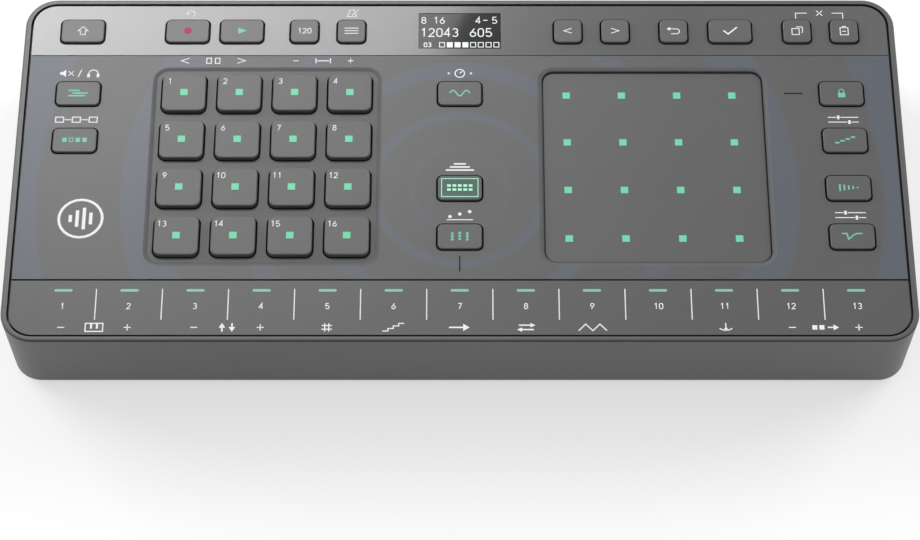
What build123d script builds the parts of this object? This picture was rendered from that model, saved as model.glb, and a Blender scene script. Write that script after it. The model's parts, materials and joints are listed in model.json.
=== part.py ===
from build123d import *
from collections import namedtuple
from math import atan2, cos, degrees, radians, sin, tan
import os

# A compact wedge-shaped groovebox: pads, buttons, a touch panel and a touch strip on a sloping deck.
# Millimetres and degrees. +X is to the player's right, +Y points away from the player, +Z is up.
# The origin is on the table, in the middle of the space that the box takes up.
# Places on the deck are given as x and y on its surface, measured from its middle, and a depth
# below that surface.

# Case
case_width = 265.0
case_depth = 119.0
case_corner_radius = 9.5
deck_slope = 5.0
front_height = 26.5
wall = 2.4
wall_draft = 2.2
floor_thickness = 2.6
base_edge_radius = 1.0

# Rim and the joint between the rim and the walls
rim_inset = 0.3
rim_width = 1.45
front_rim_width = 1.1
rim_rise = 0.25
rim_lip = 0.4
rim_edge_radius = 0.3
groove_depth = 0.7
parting_depth = 0.5
fit_gap = 0.1
ledge_reach = 4.0
ledge_thickness = 1.0
bar_width = 4.8
bar_thickness = 2.0
skirt_inset = 0.4
skirt_thickness = 1.2
skirt_drop = 3.0

# Deck panels: the two bands reach from the rear and from the front of the case to their seams
panel_gap = 0.65
panel_thickness = 2.0
display_band = 20.6
display_seam_gap = 0.2
touch_band = 20.2
touch_seam_gap = 0.5

# Pad tray and touch recess, two equal square fields on the main deck
recess_size = 69.2
recess_corner_radius = 5.0
recess_depth = 0.2
recess_bevel = 1.3
tray_margin = 1.2
tray_floor = 2.0
pad_field_x = -58.0
touch_field_x = 58.0
touch_pad_gap = 0.4
touch_pad_drop = 0.6
touch_pad_thickness = 1.5
touch_ledge_reach = 2.4
touch_ledge_thickness = 0.8
touch_lamp_shift_x = -1.0

# Pads
pad_rows = 4
pad_pitch = 16.63
pad_size = 13.0
pad_corner_radius = 2.0
pad_edge_radius = 0.3
pad_rise = 1.2
pad_travel = 1.2

# Buttons: an inset is measured from the nearest side of the case
wide_button = 12.9
narrow_button = 8.3
top_button_length = 8.15
top_button_inset = 12.0
top_button_rise = 0.75
deck_button_width = 12.95
deck_button_length = 8.3
deck_button_rise = 0.6
button_corner_radius = 1.5
button_edge_radius = 0.25
side_column_inset = 17.65

# What every key has
key_gap = 0.5
key_play = 0.1
flange_overlap = 0.7
flange_thickness = 1.0
light_well = 3.6
key_roof = 1.2

# Silicone mats
mat_thickness = 1.0
dome_wall = 1.2
dome_gap = 0.05
dome_crushed = 0.9
mat_window = 4.4
mat_margin = 4.0

# Touch strip
strip_keys = 13
strip_pitch = 19.126
strip_lamp_inset = 16.7

# Display
display_width = 25.0
display_length = 13.0
display_inset = 11.55
display_lens_gap = 0.1
display_lens_drop = 0.15
display_frame = 2.5
display_body_thickness = 1.6

# Boards
board_thickness = 1.6
control_board_side_gap = 9.0
control_board_end_gap = 10.0
control_boss_x = (-99.0, -15.5, 15.5, 99.0)
control_boss_y = 30.0
control_boss_radius = 2.5
led_size = 2.5
led_height = 0.8
main_board_x = (2.0, 118.0)
main_board_front_y = 2.0
main_board_rear_gap = 1.5
main_board_lift = 4.3
main_boss_radius = 3.0
main_boss_inset = 5.0
main_boss_rear_inset = 15.0
tower_notch_gap = 1.5
chips = ((35.0, 24.0, 14.0), (58.0, 20.0, 10.0), (70.0, 32.0, 6.0))
chip_height = 1.4

# Screws, one kind for the case and the boards
screw_radius = 1.25
screw_length = 6.0
screw_head_radius = 2.3
screw_head_height = 1.7
screw_hole_gap = 0.15
pilot_gap = 0.05
pilot_spare = 0.5

# Screw towers of the lower case and the bosses of the rim above them
rear_screw_inset = 5.9
rear_screw_left_inset = 34.5
rear_screw_right_inset = 39.0
middle_screw_x = 23.0
front_screw_inset = 6.3
corner_screw_inset = 14.5
case_boss_radius = 2.5
tower_radius = 3.5
tower_top_depth = 14.0
tower_web = 2.0

# Feet
foot_radius = 6.0
foot_height = 2.0
foot_seat = 0.6
foot_edge_radius = 0.4
foot_side_inset = 20.5
foot_end_inset = 21.5

# Battery bay
cell_radius = 7.1
cell_length = 49.3
cell_nub_radius = 2.75
cell_nub_length = 1.2
cells_per_row = 3
cell_rows = 2
cell_gap = 0.4
contact_size = 10.0
contact_thickness = 0.4
bay_wall = 1.5
bay_y = -18.0
door_thickness = 1.6
door_lip = 2.5
door_gap = 0.3
door_grip_width = 18.0
door_grip_count = 5
door_grip_pitch = 2.0
door_grip_groove = 1.0
door_grip_depth = 0.5

# Rear controls and sockets, by their x and their height above the main board
jack_x = (37.0, 51.0, 65.0)
jack_lift = 3.0
jack_width = 7.0
jack_height = 6.0
jack_length = 15.0
jack_bore_radius = 1.8
jack_bore_length = 14.0
jack_hole_radius = 4.5
usb_x = 80.0
usb_lift = 1.7
usb_width = 8.94
usb_height = 3.26
usb_shell = 0.3
usb_length = 9.0
usb_cavity = 6.2
usb_tongue_width = 6.7
usb_tongue_height = 0.7
usb_tongue_length = 4.5
usb_hole_gap = 0.3
volume_x = 10.0
volume_lift = 6.5
knob_radius = 6.5
knob_length = 5.0
knob_wall_gap = 0.6
knob_flutes = 20
knob_flute_radius = 0.45
knob_chamfer = 0.3
knob_mark_length = 3.2
knob_mark_width = 0.6
knob_mark_depth = 0.5
stem_radius = 3.0
stem_fit = 0.05
stem_hole_gap = 0.5
pot_width = 10.0
pot_length = 7.0
switch_x = 106.0
switch_lift = 3.0
switch_travel = 4.0
switch_tab_width = 4.0
switch_tab_height = 3.0
switch_tab_proud = 1.8
switch_slot_gap = 0.4
switch_shoe_overlap = 1.0
switch_shoe_thickness = 1.2
switch_body_width = 12.0
switch_body_length = 5.0
inside_gap = 0.4

# Flat cable between the two boards
cable_x = 85.0
cable_width = 16.0
cable_thickness = 0.3
cable_bend_radius = 2.0
cable_reach = 9.0
plug_length = 4.0
plug_height = 2.0
cable_rear_y = 26.0

# The deck plane
slope = radians(deck_slope)
draft = radians(wall_draft)
half_depth = case_depth / 2
deck_centre_z = foot_height + front_height * cos(slope) + half_depth * sin(slope)
rear_edge_z = deck_centre_z + half_depth * sin(slope) - parting_depth * cos(slope)
floor_top_z = foot_height + floor_thickness
main_board_top_z = floor_top_z + main_board_lift + board_thickness


def rear_wall_from_centre(z):
    """How far the rear wall's outer face lies behind the deck's middle, at a height."""
    edge = half_depth * cos(slope) + parting_depth * sin(slope)
    return edge + (z - rear_edge_z) * tan(draft - slope)


volume_z = main_board_top_z + volume_lift
front_reach = half_depth * cos(slope) - parting_depth * sin(slope)
rear_reach = rear_wall_from_centre(volume_z) + knob_wall_gap + knob_length
deck_centre_y = (front_reach - rear_reach) / 2
deck_plane = Plane(
    origin=(0, deck_centre_y, deck_centre_z),
    x_dir=(1, 0, 0),
    z_dir=(0, -sin(slope), cos(slope)),
)
deck_axis = Axis(deck_plane.origin, deck_plane.z_dir)
base_plane = Plane.XY.offset(foot_height)


def deck_level(depth):
    """The plane parallel to the deck, this far below its surface."""
    return deck_plane.offset(-depth)


def rear_wall_y(z):
    """Y of the rear wall's outer face at a height."""
    return deck_centre_y + rear_wall_from_centre(z)


def rear_plane(y):
    """An upright plane across the box: sketches on it use x and z, and grow towards the player."""
    return Plane(origin=(0, y, 0), x_dir=(1, 0, 0), z_dir=(0, -1, 0))


def save(builder, name):
    """Labels a finished piece and writes it."""
    builder.part.label = name
    export_step(builder.part, f"parts/{name}.step")


# Places on the deck that follow the case's sides
half_width = case_width / 2
display_seam_y = half_depth - display_band
touch_seam_y = touch_band - half_depth
top_button_y = half_depth - top_button_inset
display_y = half_depth - display_inset
strip_lamp_y = strip_lamp_inset - half_depth
side_column_x = half_width - side_column_inset
foot_x = half_width - foot_side_inset
foot_y = half_depth - foot_end_inset
rear_screw_y = half_depth - rear_screw_inset
front_screw_y = front_screw_inset - half_depth
corner_screw_x = half_width - corner_screw_inset
case_screw_places = (
    (rear_screw_left_inset - half_width, rear_screw_y), (-middle_screw_x, rear_screw_y),
    (middle_screw_x, rear_screw_y), (half_width - rear_screw_right_inset, rear_screw_y),
    (-corner_screw_x, front_screw_y), (0.0, front_screw_y), (corner_screw_x, front_screw_y),
)

# Sizes that follow from the ones above
control_board_width = case_width - 2 * control_board_side_gap
control_board_length = case_depth - 2 * control_board_end_gap
rim_inner_inset = rim_inset + rim_width
neck_inset = rim_inset + groove_depth
case_lip = neck_inset - fit_gap
well_width = case_width - 2 * rim_inner_inset
well_depth = case_depth - 2 * rim_inset - rim_width - front_rim_width
well_y = (front_rim_width - rim_width) / 2
panel_inset = rim_inner_inset + panel_gap
panel_width = well_width - 2 * panel_gap
panel_depth = well_depth - 2 * panel_gap
panel_front_y = well_y - panel_depth / 2
panel_rear_y = well_y + panel_depth / 2
panel_corner_radius = case_corner_radius - panel_inset
ledge_bottom = panel_thickness + ledge_thickness
pad_plate = recess_depth + tray_floor
bevel_angle = degrees(atan2(recess_bevel, recess_depth))
floor_size = recess_size - 2 * recess_bevel
floor_corner_radius = recess_corner_radius - recess_bevel
tray_size = recess_size + 2 * tray_margin
tray_corner_radius = recess_corner_radius + tray_margin
touch_pad_top = recess_depth + touch_pad_drop
touch_pad_bottom = touch_pad_top + touch_pad_thickness
touch_ledge_bottom = touch_pad_bottom + touch_ledge_thickness
display_body_width = display_width + 2 * display_frame
control_board_depth = pad_plate + key_play + flange_thickness + pad_travel + dome_crushed + mat_thickness
control_board_bottom = control_board_depth + board_thickness
mat_top = control_board_depth - mat_thickness
case_drop = 2 * deck_centre_z

Key = namedtuple("Key", "name x y width length rise plate corner edge")


def pad_row_y(row):
    """Y of a row of pads on the deck, counted from the rear."""
    return ((pad_rows - 1) / 2 - row) * pad_pitch


def pad_keys():
    """The square pads, numbered from the rear left."""
    found = []
    for row in range(pad_rows):
        for column in range(pad_rows):
            x = pad_field_x + (column - (pad_rows - 1) / 2) * pad_pitch
            name = f"pad_{row * pad_rows + column + 1:02d}"
            found.append(
                Key(name, x, pad_row_y(row), pad_size, pad_size, pad_rise, pad_plate,
                    pad_corner_radius, pad_edge_radius)
            )
    return found


def top_key(name, x, width):
    """A button of the row beside the display."""
    return Key(name, x, top_button_y, width, top_button_length, top_button_rise, panel_thickness,
               button_corner_radius, button_edge_radius)


def deck_key(name, x, row):
    """A button of the main deck, in line with a row of pads."""
    return Key(name, x, pad_row_y(row), deck_button_width, deck_button_length, deck_button_rise,
               panel_thickness, button_corner_radius, button_edge_radius)


pads = pad_keys()
top_buttons = [
    top_key("shift_button", 17.7 - half_width, wide_button),
    top_key("record_button", 49.6 - half_width, wide_button),
    top_key("play_button", 66.15 - half_width, wide_button),
    top_key("tempo_button", -47.3, narrow_button),
    top_key("menu_button", -33.0, narrow_button),
    top_key("left_button", 32.9, narrow_button),
    top_key("right_button", 47.3, narrow_button),
    top_key("back_button", half_width - 67.4, narrow_button),
    top_key("enter_button", half_width - 50.2, wide_button),
    top_key("copy_button", half_width - 29.8, narrow_button),
    top_key("paste_button", half_width - 15.4, narrow_button),
]
deck_buttons = [
    deck_key("track_button", -side_column_x, 0),
    deck_key("pattern_button", -side_column_x, 1),
    deck_key("sound_button", 0.0, 0),
    deck_key("chord_set_button", 0.0, 2),
    deck_key("chord_button", 0.0, 3),
    deck_key("hold_button", side_column_x, 0),
    deck_key("arp_button", side_column_x, 1),
    deck_key("delay_button", side_column_x, 2),
    deck_key("duck_button", side_column_x, 3),
]
buttons = top_buttons + deck_buttons
strip_xs = [(key - (strip_keys - 1) / 2) * strip_pitch for key in range(strip_keys)]


def key_bottom(key):
    """Depth of a key's underside at rest."""
    return key.plate + key_play + flange_thickness


def key_holes(keys):
    """Outlines of the holes that keys pass through, for the sketch that is open."""
    for key in keys:
        with Locations((key.x, key.y)):
            RectangleRounded(key.width + 2 * key_gap, key.length + 2 * key_gap, key.corner + key_gap)


def panel_band(y_from, y_to):
    """Outline of one deck panel between two lines across the deck, for the sketch that is open."""
    with Locations((0, well_y)):
        RectangleRounded(panel_width, panel_depth, panel_corner_radius)
    with Locations((0, (y_from + y_to) / 2)):
        Rectangle(panel_width, y_to - y_from, mode=Mode.INTERSECT)


os.makedirs("parts", exist_ok=True)

# Lower case: first the outer form, then the space inside it
with BuildPart() as case_form:
    with BuildSketch(deck_level(parting_depth)):
        RectangleRounded(case_width, case_depth, case_corner_radius)
    extrude(amount=-case_drop, taper=wall_draft)
    split(bisect_by=base_plane, keep=Keep.TOP)
    fillet(case_form.faces().sort_by(Axis.Z)[0].edges(), base_edge_radius)

with BuildPart() as case_space:
    with BuildSketch(deck_level(parting_depth)):
        RectangleRounded(case_width - 2 * wall, case_depth - 2 * wall, case_corner_radius - wall)
    extrude(amount=-case_drop, taper=wall_draft)
    split(bisect_by=Plane.XY.offset(floor_top_z), keep=Keep.TOP)

bay_length = cells_per_row * (cell_length + cell_nub_length) + 2 * (contact_thickness + cell_gap)
bay_width = cell_rows * 2 * cell_radius + (cell_rows + 1) * cell_gap
bay_floor_z = foot_height + door_thickness + fit_gap
cell_z = bay_floor_z + door_gap + cell_radius
bay_roof_z = cell_z + cell_radius + cell_gap
door_length = bay_length + 2 * door_lip
door_width = bay_width + 2 * door_lip
main_board_rear_y = rear_wall_y(main_board_top_z) - wall - main_board_rear_gap
main_boss_xs = (main_board_x[0] + main_boss_inset, main_board_x[1] - main_boss_inset)
main_boss_ys = (main_board_front_y + main_boss_inset, main_board_rear_y - main_boss_rear_inset)
main_boss_places = [(x, y) for x in main_boss_xs for y in main_boss_ys]
jack_z = main_board_top_z + jack_lift
usb_z = main_board_top_z + usb_lift
switch_z = main_board_top_z + switch_lift
slot_width = switch_tab_width + switch_travel + 2 * switch_slot_gap
slot_height = switch_tab_height + 2 * switch_slot_gap
slot_x = switch_x + switch_travel / 2
hole_start_y = rear_wall_y(foot_height) + wall
hole_depth = hole_start_y - rear_wall_y(volume_z) + 2 * wall

with BuildPart() as lower_case:
    add(case_form.part)
    add(case_space.part, mode=Mode.SUBTRACT)
    # Rebate in the top of the walls, where the rim sits
    with BuildSketch(deck_level(ledge_bottom)):
        RectangleRounded(case_width - 2 * case_lip, case_depth - 2 * case_lip, case_corner_radius - case_lip)
    extrude(amount=ledge_bottom, mode=Mode.SUBTRACT)
    # Towers for the case screws, and bosses for the main board
    with BuildSketch(deck_level(tower_top_depth)):
        with Locations(*case_screw_places):
            Circle(tower_radius)
    extrude(amount=-case_drop)
    with BuildSketch(Plane.XY.offset(foot_height)):
        with Locations(*main_boss_places):
            Circle(main_boss_radius)
    extrude(amount=floor_thickness + main_board_lift)
    # Box round the battery bay
    with BuildSketch(base_plane):
        with Locations((0, bay_y)):
            Rectangle(bay_length + 2 * bay_wall, bay_width + 2 * bay_wall)
    extrude(amount=bay_roof_z + bay_wall - foot_height)
    add(case_form.part, mode=Mode.INTERSECT)
    # The bay itself and the seat of its door
    with BuildSketch(base_plane):
        with Locations((0, bay_y)):
            Rectangle(bay_length, bay_width)
    extrude(amount=bay_roof_z - foot_height, mode=Mode.SUBTRACT)
    with BuildSketch(base_plane):
        with Locations((0, bay_y)):
            Rectangle(door_length + 2 * door_gap, door_width + 2 * door_gap)
    extrude(amount=door_thickness + fit_gap, mode=Mode.SUBTRACT)
    # Screw wells and holes
    with BuildSketch(deck_level(tower_top_depth + tower_web)):
        with Locations(*case_screw_places):
            Circle(screw_head_radius + screw_hole_gap)
    extrude(amount=-case_drop, mode=Mode.SUBTRACT)
    with BuildSketch(deck_level(tower_top_depth)):
        with Locations(*case_screw_places):
            Circle(screw_radius + screw_hole_gap)
    extrude(amount=-tower_web, mode=Mode.SUBTRACT)
    with BuildSketch(Plane.XY.offset(floor_top_z + main_board_lift)):
        with Locations(*main_boss_places):
            Circle(screw_radius + pilot_gap)
    extrude(amount=-(screw_length - board_thickness + pilot_spare), mode=Mode.SUBTRACT)
    # Seats of the feet
    with BuildSketch(base_plane):
        with GridLocations(2 * foot_x, 2 * foot_y, 2, 2):
            Circle(foot_radius)
    extrude(amount=foot_seat, mode=Mode.SUBTRACT)
    # Holes in the rear wall
    with BuildSketch(rear_plane(hole_start_y)):
        for x in jack_x:
            with Locations((x, jack_z)):
                Circle(jack_hole_radius)
        with Locations((usb_x, usb_z)):
            SlotOverall(usb_width + 2 * usb_hole_gap, usb_height + 2 * usb_hole_gap)
        with Locations((volume_x, volume_z)):
            Circle(stem_radius + stem_hole_gap)
        with Locations((slot_x, switch_z)):
            Rectangle(slot_width, slot_height)
    extrude(amount=hole_depth, mode=Mode.SUBTRACT)
save(lower_case, "lower_case")

# Top frame: the rim that shows, a neck in the rebate of the walls, the ledge and bars under the panels
ledge_inset = panel_inset + ledge_reach
skirt_outer_inset = wall + skirt_inset

with BuildPart() as top_frame:
    with BuildSketch(deck_level(ledge_bottom)):
        RectangleRounded(case_width - 2 * neck_inset, case_depth - 2 * neck_inset,
                         case_corner_radius - neck_inset)
    extrude(amount=ledge_bottom + rim_rise)
    with BuildSketch(deck_level(rim_lip - rim_rise)):
        RectangleRounded(case_width - 2 * rim_inset, case_depth - 2 * rim_inset,
                         case_corner_radius - rim_inset)
    extrude(amount=rim_lip)
    fillet(top_frame.faces().sort_by(deck_axis)[-1].edges(), rim_edge_radius)
    with BuildSketch(deck_level(ledge_bottom)):
        RectangleRounded(case_width - 2 * skirt_outer_inset, case_depth - 2 * skirt_outer_inset,
                         case_corner_radius - skirt_outer_inset)
    extrude(amount=-skirt_drop)
    # The well that the panels lie in
    with BuildSketch(deck_level(panel_thickness)):
        with Locations((0, well_y)):
            RectangleRounded(well_width, well_depth, case_corner_radius - rim_inner_inset)
    extrude(amount=panel_thickness + rim_rise, mode=Mode.SUBTRACT)
    # The opening inside the ledge, and the room inside the skirt
    with BuildSketch(deck_level(panel_thickness)):
        Rectangle(case_width - 2 * ledge_inset, case_depth - 2 * ledge_inset)
    extrude(amount=-(ledge_thickness + skirt_drop), mode=Mode.SUBTRACT)
    with BuildSketch(deck_level(ledge_bottom)):
        Rectangle(case_width - 2 * (skirt_outer_inset + skirt_thickness),
                  case_depth - 2 * (skirt_outer_inset + skirt_thickness))
    extrude(amount=-skirt_drop, mode=Mode.SUBTRACT)
    # Bars under the two seams, room for the display, and bosses for the case screws
    with BuildSketch(deck_level(panel_thickness)):
        with Locations((0, display_seam_y), (0, touch_seam_y)):
            Rectangle(case_width - 2 * (skirt_outer_inset + skirt_thickness), bar_width)
    extrude(amount=-bar_thickness)
    with BuildSketch(deck_level(panel_thickness)):
        with Locations((0, display_y)):
            Rectangle(display_body_width + 2 * fit_gap, display_length + 2 * fit_gap)
    extrude(amount=-(display_body_thickness + fit_gap), mode=Mode.SUBTRACT)
    with BuildSketch(deck_level(panel_thickness)):
        with Locations(*case_screw_places):
            Circle(case_boss_radius)
    extrude(amount=-(tower_top_depth - panel_thickness))
    with BuildSketch(deck_level(tower_top_depth)):
        with Locations(*case_screw_places):
            Circle(screw_radius + pilot_gap)
    extrude(amount=screw_length - tower_web + pilot_spare, mode=Mode.SUBTRACT)
save(top_frame, "top_frame")

# Display strip, with holes for the top row of buttons and for the display
with BuildPart() as display_strip:
    with BuildSketch(deck_level(panel_thickness)):
        panel_band(display_seam_y + display_seam_gap / 2, panel_rear_y)
    extrude(amount=panel_thickness)
    with BuildSketch(deck_level(panel_thickness)):
        key_holes(top_buttons)
        with Locations((0, display_y)):
            Rectangle(display_width, display_length)
    extrude(amount=panel_thickness, mode=Mode.SUBTRACT)
save(display_strip, "display_strip")

# Main deck, with the pad tray, the touch recess, the button holes and the board's bosses
boss_places = [(x, y) for x in control_boss_x for y in (-control_boss_y, control_boss_y)]

with BuildPart() as main_deck:
    with BuildSketch(deck_level(panel_thickness)):
        panel_band(touch_seam_y + touch_seam_gap / 2, display_seam_y - display_seam_gap / 2)
    extrude(amount=panel_thickness)
    with BuildSketch(deck_level(pad_plate)):
        with Locations((pad_field_x, 0)):
            RectangleRounded(tray_size, tray_size, tray_corner_radius)
    extrude(amount=pad_plate - panel_thickness)
    with BuildSketch(deck_level(touch_ledge_bottom)):
        with Locations((touch_field_x, 0)):
            RectangleRounded(tray_size, tray_size, tray_corner_radius)
    extrude(amount=touch_ledge_bottom - panel_thickness)
    with BuildSketch(deck_level(control_board_depth)):
        with Locations(*boss_places):
            Circle(control_boss_radius)
    extrude(amount=control_board_depth - panel_thickness)
    # Bevelled recesses
    with BuildSketch(deck_plane):
        with Locations((pad_field_x, 0), (touch_field_x, 0)):
            RectangleRounded(recess_size, recess_size, recess_corner_radius)
    extrude(amount=-recess_depth, taper=bevel_angle, mode=Mode.SUBTRACT)
    # The well of the touch panel, and the opening inside its ledge
    with BuildSketch(deck_level(touch_pad_bottom)):
        with Locations((touch_field_x, 0)):
            RectangleRounded(floor_size, floor_size, floor_corner_radius)
    extrude(amount=touch_pad_bottom - recess_depth, mode=Mode.SUBTRACT)
    with BuildSketch(deck_level(touch_ledge_bottom)):
        with Locations((touch_field_x, 0)):
            Rectangle(floor_size - 2 * touch_ledge_reach, floor_size - 2 * touch_ledge_reach)
    extrude(amount=touch_ledge_thickness, mode=Mode.SUBTRACT)
    # Holes for the keys, and pilot holes for the screws
    with BuildSketch(deck_level(pad_plate)):
        key_holes(pads)
        key_holes(deck_buttons)
    extrude(amount=pad_plate, mode=Mode.SUBTRACT)
    with BuildSketch(deck_level(control_board_depth)):
        with Locations(*boss_places):
            Circle(screw_radius + pilot_gap)
    extrude(amount=screw_length - board_thickness + fit_gap, mode=Mode.SUBTRACT)
save(main_deck, "main_deck")

# Touch strip along the front
with BuildPart() as touch_strip:
    with BuildSketch(deck_level(panel_thickness)):
        panel_band(panel_front_y, touch_seam_y - touch_seam_gap / 2)
    extrude(amount=panel_thickness)
save(touch_strip, "touch_strip")

# Touch panel, lying on the ledge of its recess
touch_pad_size = floor_size - 2 * touch_pad_gap

with BuildPart() as touch_pad:
    with BuildSketch(deck_level(touch_pad_bottom)):
        with Locations((touch_field_x, 0)):
            RectangleRounded(touch_pad_size, touch_pad_size, floor_corner_radius - touch_pad_gap)
    extrude(amount=touch_pad_thickness)
save(touch_pad, "touch_pad")

# Display: a lens that fills the window of the strip, on a wider body behind it
with BuildPart() as display_module:
    with BuildSketch(deck_level(panel_thickness)):
        with Locations((0, display_y)):
            Rectangle(display_width - 2 * display_lens_gap, display_length - 2 * display_lens_gap)
    extrude(amount=panel_thickness - display_lens_drop)
    with BuildSketch(deck_level(panel_thickness)):
        with Locations((0, display_y)):
            Rectangle(display_body_width, display_length)
    extrude(amount=-display_body_thickness)
save(display_module, "display_module")


def make_key(key):
    """A key: a cap that stands in its hole, a flange that holds it under the plate, a light well."""
    flange_width = key.width + 2 * (key_gap + flange_overlap)
    flange_length = key.length + 2 * (key_gap + flange_overlap)
    bottom = key_bottom(key)
    with BuildPart() as cap:
        with BuildSketch(deck_level(bottom)):
            with Locations((key.x, key.y)):
                RectangleRounded(key.width, key.length, key.corner)
        extrude(amount=bottom + key.rise)
        fillet(cap.faces().sort_by(deck_axis)[-1].edges(), key.edge)
        with BuildSketch(deck_level(bottom)):
            with Locations((key.x, key.y)):
                RectangleRounded(flange_width, flange_length, key.corner + key_gap + flange_overlap)
        extrude(amount=flange_thickness)
        with BuildSketch(deck_level(bottom)):
            with Locations((key.x, key.y)):
                Rectangle(light_well, light_well)
        extrude(amount=bottom + key.rise - key_roof, mode=Mode.SUBTRACT)
    save(cap, key.name)


for key in pads + buttons:
    make_key(key)


def dome_rings(keys):
    """Soft rings from the mat up to the keys, one for each key."""
    rings = []
    for key in keys:
        ring = mat_window + 2 * dome_wall
        with BuildPart() as dome:
            with BuildSketch(deck_level(mat_top)):
                with Locations((key.x, key.y)):
                    Rectangle(ring, ring)
                    Rectangle(mat_window, mat_window, mode=Mode.SUBTRACT)
            extrude(amount=mat_top - key_bottom(key) - dome_gap)
        rings.append(dome.part)
    return rings


def mat_windows(keys):
    """Outlines of the holes over the lamps, for the sketch that is open."""
    for key in keys:
        with Locations((key.x, key.y)):
            Rectangle(mat_window, mat_window, mode=Mode.SUBTRACT)


# Mat under the pads
pad_domes = dome_rings(pads)

with BuildPart() as pad_mat:
    with BuildSketch(deck_level(control_board_depth)):
        with Locations((pad_field_x, 0)):
            Rectangle(pad_rows * pad_pitch, pad_rows * pad_pitch)
        mat_windows(pads)
    extrude(amount=mat_thickness)
    for dome in pad_domes:
        add(dome)
save(pad_mat, "pad_mat")

# Mat under the buttons: a band under the top row, with an arm under each column of the deck
button_domes = dome_rings(buttons)
top_band_width = top_buttons[-1].x - top_buttons[0].x + wide_button
arm_width = deck_button_width + mat_margin

with BuildPart() as button_mat:
    with BuildSketch(deck_level(control_board_depth)):
        with Locations(((top_buttons[-1].x + top_buttons[0].x) / 2, top_button_y - mat_margin / 2)):
            Rectangle(top_band_width, mat_window + 2 * dome_wall + mat_margin)
        for key in deck_buttons:
            arm_front = key.y - deck_button_length / 2
            with Locations((key.x, (arm_front + top_button_y) / 2)):
                Rectangle(arm_width, top_button_y - arm_front)
        mat_windows(buttons)
    extrude(amount=mat_thickness)
    for dome in button_domes:
        add(dome)
save(button_mat, "button_mat")

# Lamps on the control board: one under each key, each touch square and each touch key
touch_lamp_x = touch_field_x + touch_lamp_shift_x
touch_lamps = [
    (touch_lamp_x + (column - (pad_rows - 1) / 2) * pad_pitch, pad_row_y(row))
    for row in range(pad_rows)
    for column in range(pad_rows)
]
lamp_places = [(key.x, key.y) for key in pads + buttons]
lamp_places += touch_lamps
lamp_places += [(x, strip_lamp_y) for x in strip_xs]

with BuildPart() as led_chips:
    with BuildSketch(deck_level(control_board_depth)):
        with Locations(*lamp_places):
            Rectangle(led_size, led_size)
    extrude(amount=led_height)
save(led_chips, "led_chips")

# Control board under the deck, with the plug of the flat cable
upper_plug_z = deck_centre_z + (cable_rear_y - deck_centre_y) * tan(slope) - control_board_bottom / cos(slope)

with BuildPart() as control_board:
    with BuildSketch(deck_level(control_board_bottom)):
        Rectangle(control_board_width, control_board_length)
        with Locations(*boss_places):
            Circle(screw_radius + screw_hole_gap, mode=Mode.SUBTRACT)
    extrude(amount=board_thickness)
    with BuildSketch(deck_level(control_board_bottom)):
        with Locations((cable_x, (cable_rear_y - deck_centre_y) / cos(slope))):
            Rectangle(cable_width + plug_height, plug_length)
    extrude(amount=-plug_height)
save(control_board, "control_board")

# Main board on the floor, with its chips, the plug of the flat cable and the body of the power switch
board_width = main_board_x[1] - main_board_x[0]
board_length = main_board_rear_y - main_board_front_y
board_x = (main_board_x[0] + main_board_x[1]) / 2
board_y = (main_board_rear_y + main_board_front_y) / 2
board_plane = Plane.XY.offset(main_board_top_z)
tower_places = [place for place in case_screw_places if place[1] > 0]
switch_inner_y = rear_wall_y(switch_z) - wall - inside_gap
shoe_y = switch_inner_y - switch_shoe_thickness - inside_gap

with BuildPart() as main_board:
    with BuildSketch(board_plane):
        with Locations((board_x, board_y)):
            Rectangle(board_width, board_length)
        with Locations(*main_boss_places):
            Circle(screw_radius + screw_hole_gap, mode=Mode.SUBTRACT)
    extrude(amount=-board_thickness)
    with BuildSketch(deck_level(tower_top_depth)):
        with Locations(*tower_places):
            Circle(tower_radius + tower_notch_gap)
    extrude(amount=-case_drop, mode=Mode.SUBTRACT)
    with BuildSketch(board_plane):
        for x, y, size in chips:
            with Locations((x, y)):
                Rectangle(size, size)
    extrude(amount=chip_height)
    with BuildSketch(board_plane):
        with Locations((cable_x, cable_rear_y)):
            Rectangle(cable_width + plug_height, plug_length)
    extrude(amount=plug_height)
    with BuildSketch(board_plane):
        with Locations((slot_x, shoe_y - switch_body_length / 2)):
            Rectangle(switch_body_width, switch_body_length)
    extrude(amount=2 * switch_lift)
save(main_board, "main_board")

# Flat cable: out of the front of the upper plug, down in a loop, back into the lower plug
cable_top_z = upper_plug_z - plug_height / 2
cable_bottom_z = main_board_top_z + plug_height / 2
cable_start_y = cable_rear_y - plug_length / 2

with BuildPart() as flat_cable:
    with BuildSketch(Plane.YZ.offset(cable_x - cable_width / 2)):
        with BuildLine() as cable_line:
            FilletPolyline(
                (cable_start_y - plug_height, cable_top_z),
                (cable_start_y - cable_reach, cable_top_z),
                (cable_start_y - cable_reach, cable_bottom_z),
                (cable_start_y, cable_bottom_z),
                radius=cable_bend_radius,
            )
        trace(line_width=cable_thickness)
    extrude(amount=cable_width)
save(flat_cable, "flat_cable")


# Screws: heads below or above what they hold, shanks along the plane's normal
def screw_set(plane, places):
    """Screws whose heads bear on a plane."""
    with BuildPart() as screw_group:
        with BuildSketch(plane):
            with Locations(*places):
                Circle(screw_head_radius)
        extrude(amount=-screw_head_height)
        with BuildSketch(plane):
            with Locations(*places):
                Circle(screw_radius)
        extrude(amount=screw_length)
    return screw_group.part


board_screw_plane = Plane(origin=(0, 0, main_board_top_z), x_dir=(1, 0, 0), z_dir=(0, 0, -1))
case_screws = screw_set(deck_level(tower_top_depth + tower_web), case_screw_places)
control_board_screws = screw_set(deck_level(control_board_bottom), boss_places)
main_board_screws = screw_set(board_screw_plane, [(x, -y) for x, y in main_boss_places])

with BuildPart() as screws:
    add(case_screws)
    add(control_board_screws)
    add(main_board_screws)
save(screws, "screws")

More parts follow.
